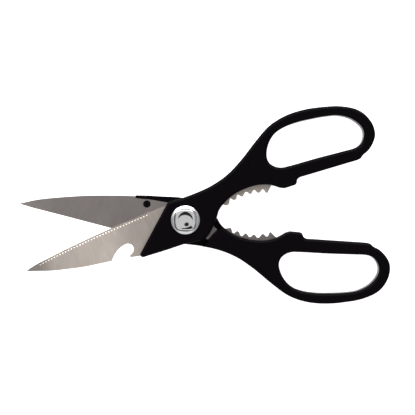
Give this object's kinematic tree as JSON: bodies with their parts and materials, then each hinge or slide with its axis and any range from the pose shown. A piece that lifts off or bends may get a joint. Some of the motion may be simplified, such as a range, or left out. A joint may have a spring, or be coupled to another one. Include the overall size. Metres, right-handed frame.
{
  "type": "poultry shears",
  "caption": "Kitchen and poultry shears with a serrated notched blade, a plain blade, moulded finger loops and toothed gripping jaws on one pivot bolt.",
  "frame": {"origin": "pivot axis at the flat rear face of the pivot bolt's head, which is the rest plane", "axes": "+X along the line that halves the opening, towards the finger loops; +Y towards the front half's handle; +Z along the pivot axis, from the bolt head to the chrome cap"},
  "size_m": [0.2006, 0.1089, 0.0163],
  "materials": {
    "blade_steel": "ground satin",
    "black_moulding": "satin moulded",
    "chrome_plate": "bright plated",
    "plated_steel": "zinc plated",
    "natural_nylon": "as moulded"
  },
  "bodies": {
    "rear_half": {"rear_blade": "blade_steel", "rear_handle": "black_moulding", "pivot_bolt": "plated_steel", "rear_washer": "plated_steel", "front_washer": "plated_steel", "spring_washer": "plated_steel", "pivot_nut": "plated_steel"},
    "front_half": {"front_blade": "blade_steel", "front_handle": "black_moulding", "pivot_bush": "natural_nylon", "pivot_cap": "chrome_plate"}
  },
  "joints": [
    {"name": "blade_pivot", "type": "hinge", "parent": "rear_half", "child": "front_half", "pos_m": [0, 0, 0], "axis": [0, 0, 1], "range_deg": [-23.5, 50]}
  ]
}
